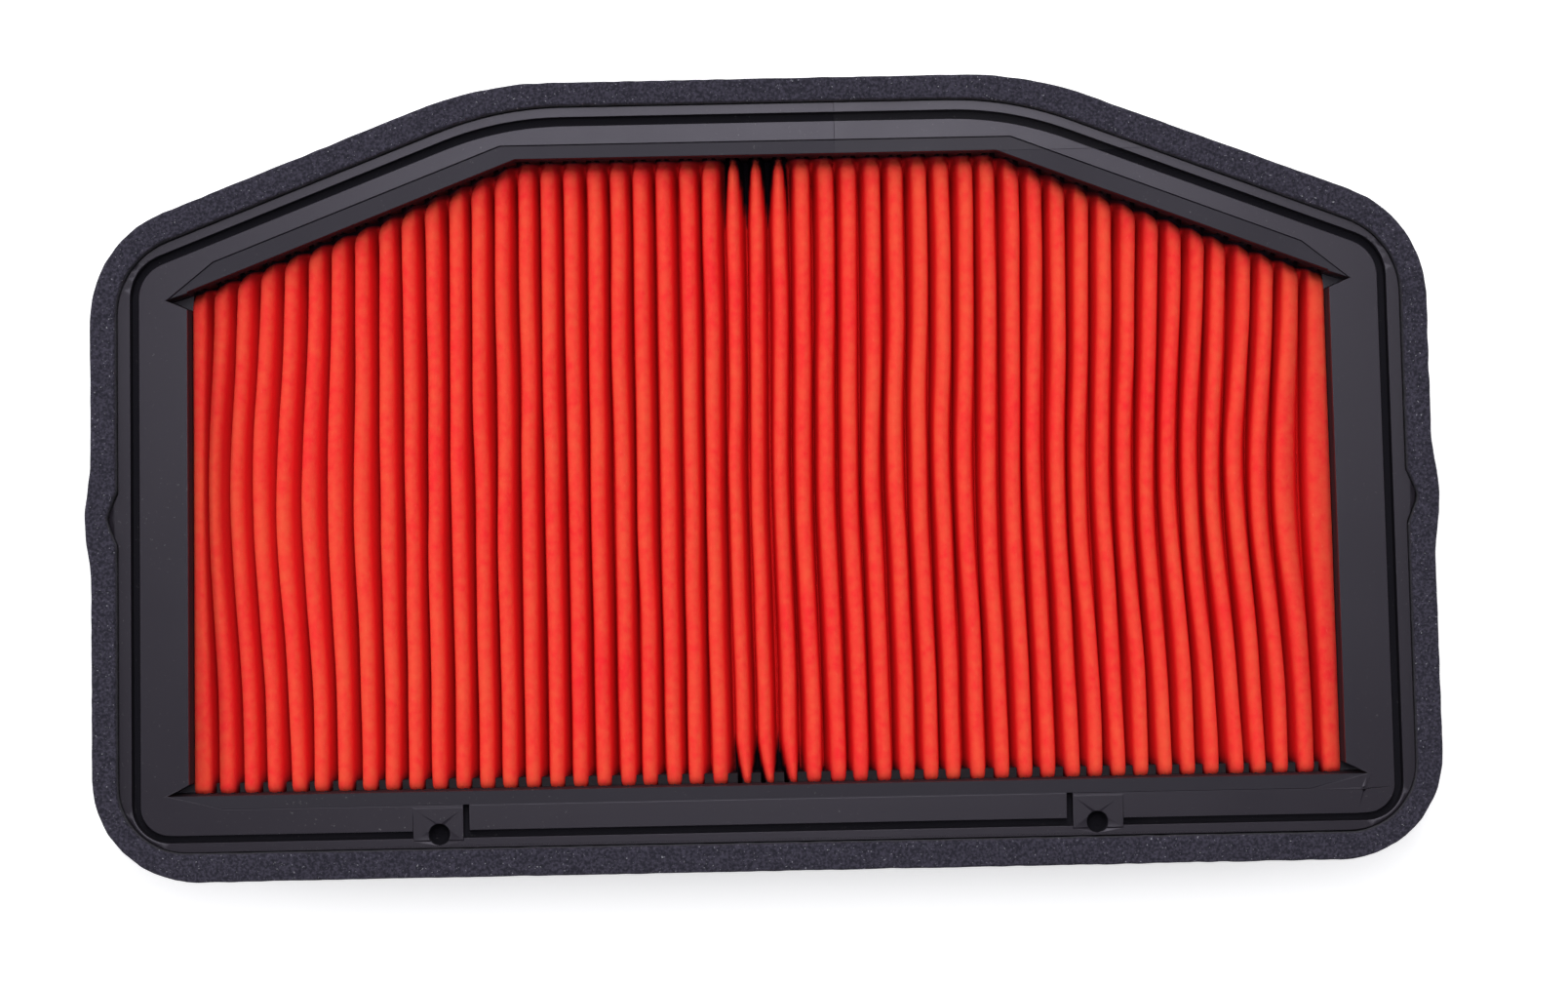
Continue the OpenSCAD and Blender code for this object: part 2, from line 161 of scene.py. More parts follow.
def effect(name, numbers, outputs):
    """A shader node group with one number for each input, and Object coordinates inside it."""
    group = bpy.data.node_groups.new(name, "ShaderNodeTree")
    for label, value in numbers.items():
        socket = group.interface.new_socket(name=label, in_out="INPUT", socket_type="NodeSocketFloat")
        socket.default_value = value
    for label in outputs:
        group.interface.new_socket(name=label, in_out="OUTPUT", socket_type="NodeSocketFloat")
    given = group.nodes.new("NodeGroupInput")
    result = group.nodes.new("NodeGroupOutput")
    place = put(group, "ShaderNodeTexCoord").outputs["Object"]
    read = {label: Reckon(group, given.outputs[label]) for label in numbers}
    return group, place, read, result


def use(tree, group, **numbers):
    node = put(tree, "ShaderNodeGroup", {"node_tree": group})
    for label, value in numbers.items():
        node.inputs[label.replace("_", " ")].default_value = value
    return {socket.name: Reckon(tree, socket) for socket in node.outputs}


def new_material(name, colour, roughness):
    made = bpy.data.materials.new(name)
    made.use_nodes = True
    tree = made.node_tree
    shader = tree.nodes["Principled BSDF"]
    shader.inputs["Base Color"].default_value = (*colour, 1)
    shader.inputs["Roughness"].default_value = roughness
    return made, tree, shader


def blend_colour(tree, share, a, b):
    node = tree.nodes.new("ShaderNodeMix")
    node.data_type = "RGBA"
    tree.links.new(share.socket, node.inputs["Factor"])
    for slot, value in ((node.inputs[6], a), (node.inputs[7], b)):
        if isinstance(value, bpy.types.NodeSocket):
            tree.links.new(value, slot)
        else:
            slot.default_value = (*value, 1)
    return node.outputs[2]


def speckle(tree, place, scale, detail=2.0, roughness=0.5):
    node = put(tree, "ShaderNodeTexNoise", Vector=place, Scale=scale, Detail=detail, Roughness=roughness)
    return Reckon(tree, node.outputs["Fac"])


# Moulded skin: fine grain, wide soft flow marks and a thin layer of dust.
moulded_skin, place, given, result = effect(
    "moulded_skin", {"Grain Scale": 2600.0, "Flow Scale": 28.0, "Dust": 0.5}, ("Height", "Flow", "Dust"))
grain = put(moulded_skin, "ShaderNodeTexNoise", Vector=place, Scale=given["Grain Scale"], Detail=2.0)
flow = put(moulded_skin, "ShaderNodeTexNoise", Vector=place, Scale=given["Flow Scale"], Detail=3.0,
           Distortion=0.6)
motes = speckle(moulded_skin, place, 900.0, 5.0, 0.7).rises(0.62, 0.74)
drift = speckle(moulded_skin, place, 40.0, 2.0).rises(0.35, 0.75)
moulded_skin.links.new(grain.outputs["Fac"], result.inputs["Height"])
moulded_skin.links.new(flow.outputs["Fac"], result.inputs["Flow"])
moulded_skin.links.new((motes * drift * given["Dust"]).socket, result.inputs["Dust"])

frame_plastic, tree, shader = new_material("frame_plastic", PLASTIC, PLASTIC_ROUGHNESS)
shader.inputs["Specular IOR Level"].default_value = 0.34
shader.inputs["Specular Tint"].default_value = (0.89, 0.85, 1.0, 1)
skin = use(tree, moulded_skin, Grain_Scale=2600.0, Flow_Scale=28.0, Dust=0.5)
axes = put(tree, "ShaderNodeSeparateXYZ", Vector=put(tree, "ShaderNodeTexCoord").outputs["Object"])
x, y, z = (Reckon(tree, axes.outputs[axis]) for axis in "XYZ")
witness = (x.rises(WITNESS_X - WITNESS_WIDTH, WITNESS_X + WITNESS_WIDTH)
           * y.rises(WITNESS_Y, WITNESS_Y + WITNESS_WIDTH))
# The seal groove, the strip round the window and the ears are spark-eroded, so they look matt. The walls
# and the flange lower down keep the satin skin. The groove and the ears are also painted darker, as
# painted shade in their depth, and everything from a third of a millimetre below the panel, the strip
# round the window too, is painted a little darker.
panel_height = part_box("upper_frame")[1][2] - BOSS_HEIGHT
strip, recess_matt_and_shade = ((1.0 - z.rises(panel_height - low, panel_height - high)) * z.rises(MATT_FROM, MATT_FULL)
                 for low, high in (STRIP_DEPTHS, GROOVE_DEPTHS))
tint = blend_colour(tree, (strip * 0.4).at_least(recess_matt_and_shade), PLASTIC, RECESS_SHADE)
tree.links.new(blend_colour(tree, (skin["Dust"] + witness * 0.03).share(), tint, DUST_COLOUR),
               shader.inputs["Base Color"])
tree.links.new(((skin["Flow"] - 0.5) * 0.14 + PLASTIC_ROUGHNESS + skin["Dust"] * 0.3 + strip * 0.2
                + recess_matt_and_shade * 0.4).share().socket, shader.inputs["Roughness"])
ripple = put(tree, "ShaderNodeBump", Strength=0.35, Distance=0.00002, Height=skin["Height"])
step = put(tree, "ShaderNodeBump", Strength=1.0, Distance=0.00003, Height=witness + skin["Flow"],
           Normal=ripple.outputs["Normal"])
tree.links.new(step.outputs["Normal"], shader.inputs["Normal"])


def broken_edges(node, name, width):
    """A copy of a moulded node with its sharp edges broken."""
    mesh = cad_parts[node].data.copy()
    mesh.name = name
    body = bmesh.new()
    body.from_mesh(mesh)
    bmesh.ops.remove_doubles(body, verts=body.verts, dist=MERGE)
    body.to_mesh(mesh)
    body.free()
    mesh.materials.clear()
    mesh.materials.append(frame_plastic)
    if "custom_normal" in mesh.attributes:
        mesh.attributes.remove(mesh.attributes["custom_normal"])
    piece = bpy.data.objects.new(name, mesh)
    bpy.context.collection.objects.link(piece)
    mesh.shade_smooth()
    bevel = piece.modifiers.new("broken edges", "BEVEL")
    bevel.width = width
    bevel.segments = 2
    bevel.limit_method = "ANGLE"
    bevel.angle_limit = SHARP
    bevel.use_clamp_overlap = False
    flats = piece.modifiers.new("flat faces", "WEIGHTED_NORMAL")
    flats.mode = "FACE_AREA"
    flats.weight = 100
    flats.thresh = 0.0
    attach(piece, "root")
    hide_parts(node)
    return piece


broken_edges("upper_frame", "upper_moulding", EDGE_BREAK)

# ---------------------------------------------------------------- lower frame and support grid
# The skirt is a second black moulding, welded to the collar of the upper one. A moulded grid lies
# on its ledge and carries the screen and the sheet.
SKIRT_EDGE_BREAK = 0.00025
GRID_EDGE_BREAK = 0.0003

broken_edges("lower_frame", "skirt_moulding", SKIRT_EDGE_BREAK)
broken_edges("support_grid", "grid_moulding", GRID_EDGE_BREAK)

# ---------------------------------------------------------------- flame screen
# The screen is a plain weave of steel wire, which stops a backfire from lighting the oiled sheet.
# Warp and weft wires pass over and under each other at each crossing.
WIRE = 0.0005
MESH_STEP = 0.003
WARP_WIRES = 91
WEFT_WIRES = 53
RING_SIDES = 5
STEEL = (0.45, 0.45, 0.46)
TARNISHED = (0.28, 0.26, 0.24)

wire_steel, tree, shader = new_material("wire_steel", STEEL, 0.34)
shader.inputs["Metallic"].default_value = 1.0
place = put(tree, "ShaderNodeTexCoord").outputs["Object"]
tarnish = speckle(tree, place, 160.0, 4.0)
tree.links.new(blend_colour(tree, tarnish.rises(0.4, 0.7), STEEL, TARNISHED),
               shader.inputs["Base Color"])
tree.links.new((tarnish * 0.35 + 0.2).socket, shader.inputs["Roughness"])
drawn = put(tree, "ShaderNodeBump", Strength=0.3, Distance=0.00001, Height=speckle(tree, place, 4000.0))
tree.links.new(drawn.outputs["Normal"], shader.inputs["Normal"])


def new_tree(name, questions):
    """A Geometry Nodes tree with named inputs. Gives its sockets' identifiers by name."""
    tree = bpy.data.node_groups.new(name, "GeometryNodeTree")
    identifiers = {}
    for label, kind in questions.items():
        socket = tree.interface.new_socket(name=label, in_out="INPUT", socket_type="NodeSocket" + kind)
        identifiers[label] = socket.identifier
    tree.interface.new_socket(name="Geometry", in_out="OUTPUT", socket_type="NodeSocketGeometry")
    given = tree.nodes.new("NodeGroupInput")
    answer = tree.nodes.new("NodeGroupOutput")
    return tree, identifiers, given, answer


def end_tree(tree, geometry, material, answer):
    real = put(tree, "GeometryNodeRealizeInstances", Geometry=geometry)
    smooth = put(tree, "GeometryNodeSetShadeSmooth", Geometry=real.outputs["Geometry"])
    coated = put(tree, "GeometryNodeSetMaterial", Geometry=smooth.outputs["Geometry"])
    coated.inputs["Material"].default_value = material
    tree.links.new(coated.outputs["Geometry"], answer.inputs["Geometry"])


def grown(name, tree, identifiers, start=None, **values):
    """A plain mesh object that holds what the tree makes with the given values."""
    piece = bpy.data.objects.new(name, start or bpy.data.meshes.new(name))
    bpy.context.collection.objects.link(piece)
    modifier = piece.modifiers.new(name, "NODES")
    modifier.node_group = tree
    for label, value in values.items():
        modifier[identifiers[label.replace("_", " ")]] = value
    graph = bpy.context.evaluated_depsgraph_get()
    mesh = bpy.data.meshes.new_from_object(piece.evaluated_get(graph), preserve_all_data_layers=True,
                                           depsgraph=graph)
    mesh.name = name
    piece.modifiers.clear()
    piece.data = mesh
    return piece


# The window's edge behind the sheet runs straight across the middle and slopes down to each side.
SLOPE = tan(radians(20.9))
BACK_HALF = 0.0576
screen_low, screen_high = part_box("flame_screen")
weave, asks, given, answer = new_tree("weave_the_screen", {
    "Wires": "Int", "Points": "Int", "Step": "Float", "Wire": "Float", "Turned": "Float",
    "Height": "Float", "Half Length": "Float", "Front": "Float", "Back": "Float"})
ask = {label: Reckon(weave, given.outputs[label]) for label in asks}
line = put(weave, "GeometryNodeMeshLine", Count=given.outputs["Wires"])
weave.links.new(put(weave, "ShaderNodeCombineXYZ", X=ask["Step"]).outputs[0], line.inputs["Offset"])
strand = put(weave, "GeometryNodeMeshLine", Count=given.outputs["Points"])
weave.links.new(put(weave, "ShaderNodeCombineXYZ", Y=ask["Step"]).outputs[0], strand.inputs["Offset"])
laid = put(weave, "GeometryNodeInstanceOnPoints", Points=line.outputs["Mesh"],
           Instance=strand.outputs["Mesh"])
laid = put(weave, "GeometryNodeRealizeInstances", Geometry=laid.outputs["Instances"])
axes = put(weave, "ShaderNodeSeparateXYZ", Vector=put(weave, "GeometryNodeInputPosition").outputs[0])
wires_wide = (ask["Wires"] - 1.0) * ask["Step"] * 0.5
points_long = (ask["Points"] - 1.0) * ask["Step"] * 0.5
a = Reckon(weave, axes.outputs["X"]) - wires_wide
b = Reckon(weave, axes.outputs["Y"]) - points_long
number = (Reckon(weave, axes.outputs["X"]) + Reckon(weave, axes.outputs["Y"])) / ask["Step"]
wave = (number * pi).math("COSINE") * ask["Wire"] * 0.5 * (1.0 - 2.0 * ask["Turned"])
x = a + (b - a) * ask["Turned"]
y = b + (a - b) * ask["Turned"]
place = put(weave, "ShaderNodeCombineXYZ", X=x, Y=y, Z=wave + ask["Height"])
moved = put(weave, "GeometryNodeSetPosition", Geometry=laid.outputs["Geometry"],
            Position=place.outputs[0])
axes = put(weave, "ShaderNodeSeparateXYZ", Vector=put(weave, "GeometryNodeInputPosition").outputs[0])
x, y = abs(Reckon(weave, axes.outputs["X"])), Reckon(weave, axes.outputs["Y"])
over = ((x - ask["Half Length"]).at_least(y - ask["Back"]).at_least(ask["Front"] - y)
        .at_least(y + (x - BACK_HALF) * SLOPE - ask["Back"]))
outside = over.math("GREATER_THAN", 0.0)
kept = put(weave, "GeometryNodeDeleteGeometry", Geometry=moved.outputs["Geometry"], Selection=outside)
curves = put(weave, "GeometryNodeMeshToCurve", Mesh=kept.outputs["Geometry"])
ring = put(weave, "GeometryNodeCurvePrimitiveCircle", Resolution=RING_SIDES, Radius=ask["Wire"] * 0.5)
tubes = put(weave, "GeometryNodeCurveToMesh", Curve=curves.outputs["Curve"],
            Profile_Curve=ring.outputs["Curve"], Fill_Caps=True)
end_tree(weave, tubes.outputs["Mesh"], wire_steel, answer)
for name, turned in (("screen_warp", 0.0), ("screen_weft", 1.0)):
    across, along = (WEFT_WIRES, WARP_WIRES) if turned else (WARP_WIRES, WEFT_WIRES)
    piece = grown(name, weave, asks, Wires=across, Points=along, Step=MESH_STEP, Wire=WIRE,
                  Turned=turned, Height=(screen_low[2] + screen_high[2]) / 2,
                  Half_Length=screen_high[0] - WIRE,
                  Front=screen_low[1] + WIRE, Back=screen_high[1] - WIRE)
    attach(piece, "root")
    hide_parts("flame_screen")

# ---------------------------------------------------------------- pleated media
# The filter element is one long sheet of red oiled felt, folded into 49 pleats that run from back
# to front. The folds are pressed by hand, so they wander, and a few in the middle are pinched.
PLEATS = 49
FOLD_HALF = 0.00145
FELT = 0.0012
COLUMNS = 14
ROWS = 64
RED = (0.92, 0.094, 0.046)
# Deeper red for the oily blotches, and painted red bounce light on the flanks.
OILY_AND_BOUNCE_RED = (0.95, 0.024, 0.032)
WINDOW_BACK = 0.0766
# Near-black painted into the felt near the ends of the sheet.
DARK_END_COLOUR = (0.018, 0.012, 0.02)
PALE_FIBRE = (1.0, 0.22, 0.16)
# One flank of a fold from crest to bottom, at even steps: how far out, and how far down.
FOLD_OUT = (0, 0.22, 0.41, 0.53, 0.66, 0.81, 0.94, 1)
FOLD_DOWN = (0, 0.007, 0.028, 0.06, 0.15, 0.30, 0.60, 1)
# How far the folds lean, from the sheet's left end to its right end.
LEAN = ((0, 0.0), (0.03, 0.7), (0.06, 0.8), (0.11, 0.55), (0.17, 0.05), (0.43, 0.03), (0.52, 0.3),
        (0.74, 0.38), (0.83, 0.62), (0.92, 0.97), (0.975, 0.85), (1, 0.0))
BOW, BOW_SPREAD, BOW_MIDDLE = 0.0046, 0.026, 0.004
WANDER = 0.0016
PINCHED_HALF = 0.0115
PINCH_BACK, PINCH_FRONT = 0.018, 0.012
PINCH_SHIFT = 0.0011
SETTLED = 0.0009
FRONT_LINE = 0.070
FLARE, FLARE_RATE = 1.0075, 0.075
REACH, REACH_RATE = 1.0134, 0.115
WALL_GAP = 0.0019
WEB = 0.009
NOSE = 0.0060
NOSE_DROP, NOSE_RELIEF = 0.010, 0.004
DENT = 0.0007
CREST_STRAY, CREST_DROP = 0.0006, 0.0003
FRONT_DARK_SPAN, BACK_DARK_SPAN = 0.0062, 0.0009

red_felt, tree, shader = new_material("red_felt", RED, 0.9)
place = put(tree, "ShaderNodeTexCoord").outputs["Object"]
stretched = put(tree, "ShaderNodeMapping", Vector=place)
stretched.inputs["Scale"].default_value = (1.0, 0.35, 1.0)
fibres = speckle(tree, stretched.outputs["Vector"], 2200.0, 4.0, 0.65)
tufts = speckle(tree, place, 420.0, 3.0, 0.6)
blotches = speckle(tree, place, 35.0, 2.0)
oily_and_bounce_tone = blend_colour(tree, (tufts * 0.6 + blotches * 0.5).rises(0.3, 0.85), RED, OILY_AND_BOUNCE_RED)
dark_ends, flank_bounce_light = (Reckon(tree, put(tree, "ShaderNodeAttribute", {"attribute_name": name}).outputs["Fac"])
                for name in ("compound", "flank_bounce_light"))
# The flanks are painted a deeper, more saturated red than the crests: painted red bounce light, in place
# of light passed between the folds.
oily_and_bounce_tone = blend_colour(tree, flank_bounce_light * 0.85, oily_and_bounce_tone, OILY_AND_BOUNCE_RED)
pale = blend_colour(tree, fibres.rises(0.62, 0.78) * 0.35, oily_and_bounce_tone, PALE_FIBRE)
# Near the ends of the sheet the felt is painted near-black.
tree.links.new(blend_colour(tree, dark_ends.share(), pale, DARK_END_COLOUR), shader.inputs["Base Color"])
shader.inputs["Specular IOR Level"].default_value = 0.06
nap = put(tree, "ShaderNodeBump", Strength=0.6, Distance=0.00012, Height=fibres + tufts * 0.8)
tree.links.new(nap.outputs["Normal"], shader.inputs["Normal"])

media_low, media_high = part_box("pleated_media")
fold, asks, given, answer = new_tree("fold_the_sheet", {
    "Pleats": "Int", "Columns": "Int", "Rows": "Int", "Half Length": "Float", "Fold Half": "Float",
    "Depth": "Float", "Crest": "Float", "Front": "Float", "Back": "Float", "Nose": "Float",
    "Hidden": "Float", "Bow": "Float", "Bow Spread": "Float", "Wander": "Float"})
ask = {label: Reckon(fold, given.outputs[label]) for label in asks}


def line_through(tree, points, value):
    """Straight lines through a few points, from 0 to 1 both ways."""
    node = tree.nodes.new("ShaderNodeFloatCurve")
    curve = node.mapping.curves[0]
    for at, height in points[1:-1]:
        curve.points.new(at, height)
    curve.points[0].location = points[0]
    curve.points[-1].location = points[-1]
    for point in curve.points:
        point.handle_type = "VECTOR"
    node.mapping.update()
    tree.links.new(value.socket, node.inputs["Value"])
    return Reckon(tree, node.outputs["Value"])


def uneven(tree, across, along, depth):
    """Soft noise that changes from fold to fold and along each fold."""
    seat = put(tree, "ShaderNodeCombineXYZ", X=across, Y=along, Z=depth)
    noisy = put(tree, "ShaderNodeTexNoise", Vector=seat.outputs[0], Scale=1.0, Detail=1.0)
    return Reckon(tree, noisy.outputs["Fac"])


sheet = put(fold, "GeometryNodeMeshGrid", Size_X=1.0, Size_Y=1.0,
            Vertices_X=ask["Pleats"] * ask["Columns"] + 1.0, Vertices_Y=given.outputs["Rows"])
axes = put(fold, "ShaderNodeSeparateXYZ", Vector=put(fold, "GeometryNodeInputPosition").outputs[0])
across = (Reckon(fold, axes.outputs["X"]) + 0.5) * ask["Pleats"]
number = (across + 0.0001).math("FLOOR").at_most(ask["Pleats"] - 1.0)
side = (across - number) * 2.0 - 1.0
away = abs(side).share()
STEP_DOWN = 1 / (len(FOLD_OUT) - 1)
out, down = (line_through(fold, [(i * STEP_DOWN, v) for i, v in enumerate(profile)], away)
             for profile in (FOLD_OUT, FOLD_DOWN))
crest = 1.0 - down
pitch = (ask["Half Length"] - ask["Fold Half"]) * 2.0 / (ask["Pleats"] - 1.0)
middle = number * pitch - (ask["Half Length"] - ask["Fold Half"])
turn = side.math("SIGN")
line_x = middle + turn * out * pitch * 0.5
back_end = (ask["Back"] - (abs(line_x) - BACK_HALF) * SLOPE).at_most(ask["Back"])
along = (1.0 - ((Reckon(fold, axes.outputs["Y"]) + 0.5) * pi).math("COSINE")) * 0.5
y = ask["Front"] + (back_end - ask["Front"]) * along
from_front = y - ask["Front"]
from_back = back_end - y
near_front = (1.0 - from_front / (ask["Nose"] * 0.5)).share()
near_back = (1.0 - (from_back - ask["Hidden"] - BACK_DARK_SPAN) / (ask["Nose"] * 0.6)).share()
near_end = near_front.at_least(near_back)
# The middle pleats are pinched where they meet the frame.
pinched = (abs(middle) * -1.0 + PINCHED_HALF).rises(0.0, 0.005)
pinch_back = pinched * (1.0 - from_back / PINCH_BACK).share()
pinch_front = pinched * (1.0 - from_front / PINCH_FRONT).share()
rounding = 1.0 - (1.0 - near_end * near_end).math("SQRT")
narrow = ((1.0 - 0.45 * near_end * near_end) * (1.0 - 0.5 * pinch_back) * (1.0 - 0.55 * pinch_front)
          * (1.0 - 0.12 * pinched))
width = 1.0 + (narrow - 1.0) * crest
# Halfway from front to back the folds lean to the left, most of all near the sheet's two ends.
lean = line_through(fold, LEAN, line_x / ask["Half Length"] * 0.5 + 0.5)
bell = (y + BOW_MIDDLE) / ask["Bow Spread"]
bell = (bell * bell * -0.5).math("EXPONENT")
stray = uneven(fold, number * 7.31, y * 24.0, 3.7) - 0.5
dent = uneven(fold, number * 3.17, y * 60.0, 9.1)
edge = 1.0 - (abs(middle) / ask["Half Length"]).rises(0.93, 0.99)
settle = (line_x.rises(-0.012, 0.016) * -2.0 + 1.0) * SETTLED * edge
flare = FLARE - (y + FRONT_LINE) * FLARE_RATE
# The first and last folds are pressed against the side walls, which lean out towards the front.
reach = ask["Half Length"] * (REACH - (y + FRONT_LINE) * REACH_RATE)
outer_side = middle.math("SIGN")
pressed_out = outer_side * (1.0 - edge) * (side * outer_side).rises(0.0, 0.45) * WALL_GAP
x = ((middle + turn * out * pitch * 0.5 * width) * flare + settle * down
     - lean * bell * ask["Bow"] * (crest * 0.65 + 0.35)
     + stray * ask["Wander"] * crest * (edge * 0.8 + 0.2) + pinch_front * PINCH_SHIFT * crest
     + pressed_out * crest)
x = x.at_least(reach * -1.0).at_most(reach)
web = (1.0 - from_back / WEB).share().power(1.2) * 0.7 * (1.0 - pinched * 0.7)
z = (ask["Crest"] - down * ask["Depth"] * (1.0 - web)
     - rounding * (NOSE_DROP - near_back.rises(0.0, 0.1) * NOSE_RELIEF) * crest
     - dent * DENT * crest + stray * CREST_STRAY * crest - CREST_DROP)
place = put(fold, "ShaderNodeCombineXYZ", X=x, Y=y, Z=z)
# The felt is painted near-black in the valleys at the front ends, in the gaps beside a pinched fold, and
# at the back ends where they go under the frame.
dark_ends = ((1.0 - from_front / FRONT_DARK_SPAN).rises(0.0, 0.75) * away.rises(0.45, 0.75)).at_least(
    (away + pinch_back.at_least(pinch_front) * 0.5).rises(0.93, 1.03)
    * (pinch_back + pinch_front).rises(0.0, 0.1)).at_least(
    (1.0 - (from_back - ask["Hidden"]) / BACK_DARK_SPAN).rises(0.0, 0.4))
# The second mask marks the flanks for the felt's painted red bounce light.
marked = sheet.outputs["Mesh"]
for name, share in (("compound", dark_ends), ("flank_bounce_light", away.rises(0.40, 0.52))):
    noted = put(fold, "GeometryNodeStoreNamedAttribute", {"data_type": "FLOAT", "domain": "POINT"},
                Geometry=marked, Name=name)
    fold.links.new(share.socket, noted.inputs["Value"])
    marked = noted.outputs["Geometry"]
folded = put(fold, "GeometryNodeSetPosition", Geometry=marked, Position=place.outputs[0])
end_tree(fold, folded.outputs["Geometry"], red_felt, answer)
media = grown("folded_felt", fold, asks, Pleats=PLEATS, Columns=COLUMNS, Rows=ROWS,
              Half_Length=media_high[0], Fold_Half=FOLD_HALF,
              Depth=media_high[2] - media_low[2] - FELT, Crest=media_high[2],
              Front=media_low[1], Back=media_high[1], Nose=NOSE,
              Hidden=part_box("pleated_media")[1][1] - WINDOW_BACK, Bow=BOW, Bow_Spread=BOW_SPREAD,
              Wander=WANDER)
thick = media.modifiers.new("felt", "SOLIDIFY")
thick.thickness = FELT
thick.offset = -1
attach(media, "root")
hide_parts("pleated_media")

# ---------------------------------------------------------------- pleat seals
# Black compound is poured round the pleat ends, and dries with a satin skin.
COMPOUND = (0.012, 0.010, 0.014)
COMPOUND_LUMP = (0.018, 0.015, 0.02)

seal_compound, tree, shader = new_material("seal_compound", COMPOUND, 0.6)
shader.inputs["Specular IOR Level"].default_value = 0.2
place = put(tree, "ShaderNodeTexCoord").outputs["Object"]
lumps = speckle(tree, place, 320.0, 3.0)
tree.links.new(blend_colour(tree, lumps.rises(0.55, 0.75), COMPOUND, COMPOUND_LUMP),
               shader.inputs["Base Color"])
tree.links.new((lumps * 0.25 + 0.5).socket, shader.inputs["Roughness"])
poured = put(tree, "ShaderNodeBump", Strength=0.7, Distance=0.0002, Height=lumps)
tree.links.new(poured.outputs["Normal"], shader.inputs["Normal"])
for node in ("back_pleat_seal", "front_pleat_seal", "left_end_bond", "right_end_bond"):
    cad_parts[node].data.materials.clear()
    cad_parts[node].data.materials.append(seal_compound)

# ---------------------------------------------------------------- end bonds, spacer beads and tape
# Milky hot-melt adhesive holds the sheet's end panels and spaces the folds on the clean side. A
# double-sided tape holds the foam.
MELT = (0.62, 0.58, 0.48)
MELT_CLOUDY, MELT_CLEAR = (0.70, 0.66, 0.56), (0.50, 0.46, 0.38)
BEAD_COUNT = 3
BEAD_POINTS = 393
BEAD_SIDES = 12
BEAD_RADIUS = 0.0015
BEAD_LIFT = 0.0008
BEAD_END_GAP = 0.001
BEAD_SWELL_PITCH = 0.00563

hot_melt, tree, shader = new_material("hot_melt", MELT, 0.35)
place = put(tree, "ShaderNodeTexCoord").outputs["Object"]
cloudy = speckle(tree, place, 260.0, 3.0)
tree.links.new(blend_colour(tree, cloudy, MELT_CLOUDY, MELT_CLEAR), shader.inputs["Base Color"])
tree.links.new((cloudy * 0.3 + 0.2).socket, shader.inputs["Roughness"])
wavy = put(tree, "ShaderNodeBump", Strength=0.5, Distance=0.0001, Height=cloudy)
tree.links.new(wavy.outputs["Normal"], shader.inputs["Normal"])
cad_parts["gasket_tape"].data.materials.clear()
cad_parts["gasket_tape"].data.materials.append(hot_melt)

# The beads are run across the folds while hot, so they swell into each gap.
bead_low, bead_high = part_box("spacer_beads")
beads, asks, given, answer = new_tree("run_the_beads", {
    "Points": "Int", "Step": "Float", "Start": "Float", "Radius": "Float", "Height": "Float",
    "First": "Float", "Apart": "Float", "Count": "Int", "Folds Apart": "Float"})
ask = {label: Reckon(beads, given.outputs[label]) for label in asks}
row = put(beads, "GeometryNodeMeshLine", Count=given.outputs["Count"])
beads.links.new(put(beads, "ShaderNodeCombineXYZ", Y=ask["Apart"]).outputs[0], row.inputs["Offset"])
begins = put(beads, "ShaderNodeCombineXYZ", X=ask["Start"], Y=ask["First"], Z=ask["Height"])
beads.links.new(begins.outputs[0], row.inputs["Start Location"])
run = put(beads, "GeometryNodeMeshLine", Count=given.outputs["Points"])
beads.links.new(put(beads, "ShaderNodeCombineXYZ", X=ask["Step"]).outputs[0], run.inputs["Offset"])
laid = put(beads, "GeometryNodeInstanceOnPoints", Points=row.outputs["Mesh"],
           Instance=run.outputs["Mesh"])
laid = put(beads, "GeometryNodeRealizeInstances", Geometry=laid.outputs["Instances"])
axes = put(beads, "ShaderNodeSeparateXYZ", Vector=put(beads, "GeometryNodeInputPosition").outputs[0])
swell = (Reckon(beads, axes.outputs["X"]) / ask["Folds Apart"] * (2 * pi)).math("COSINE") * 0.16 + 0.84
drip = put(beads, "ShaderNodeTexNoise", Scale=150.0, Detail=1.0)
drip = Reckon(beads, drip.outputs["Fac"]) * 0.4 + 0.75
curves = put(beads, "GeometryNodeMeshToCurve", Mesh=laid.outputs["Geometry"])
ring = put(beads, "GeometryNodeCurvePrimitiveCircle", Resolution=BEAD_SIDES, Radius=ask["Radius"])
tubes = put(beads, "GeometryNodeCurveToMesh", Curve=curves.outputs["Curve"],
            Profile_Curve=ring.outputs["Curve"], Scale=swell * drip, Fill_Caps=True)
axes = put(beads, "ShaderNodeSeparateXYZ", Vector=put(beads, "GeometryNodeInputPosition").outputs[0])
flat = (Reckon(beads, axes.outputs["Z"]) - ask["Height"]) * 0.45 + ask["Height"]
place = put(beads, "ShaderNodeCombineXYZ", X=axes.outputs["X"], Y=axes.outputs["Y"], Z=flat)
pressed = put(beads, "GeometryNodeSetPosition", Geometry=tubes.outputs["Mesh"],
              Position=place.outputs[0])
end_tree(beads, pressed.outputs["Geometry"], hot_melt, answer)
bead_half = bead_high[0] - BEAD_END_GAP
bead_lines = grown("bead_lines", beads, asks, Points=BEAD_POINTS, Step=bead_half / (BEAD_POINTS // 2),
                   Start=-bead_half, Radius=BEAD_RADIUS, Height=bead_low[2] + BEAD_LIFT,
                   First=bead_low[1] + BEAD_RADIUS,
                   Apart=(bead_high[1] - bead_low[1] - 2 * BEAD_RADIUS) / (BEAD_COUNT - 1),
                   Count=BEAD_COUNT, Folds_Apart=BEAD_SWELL_PITCH)
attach(bead_lines, "root")
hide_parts("spacer_beads")

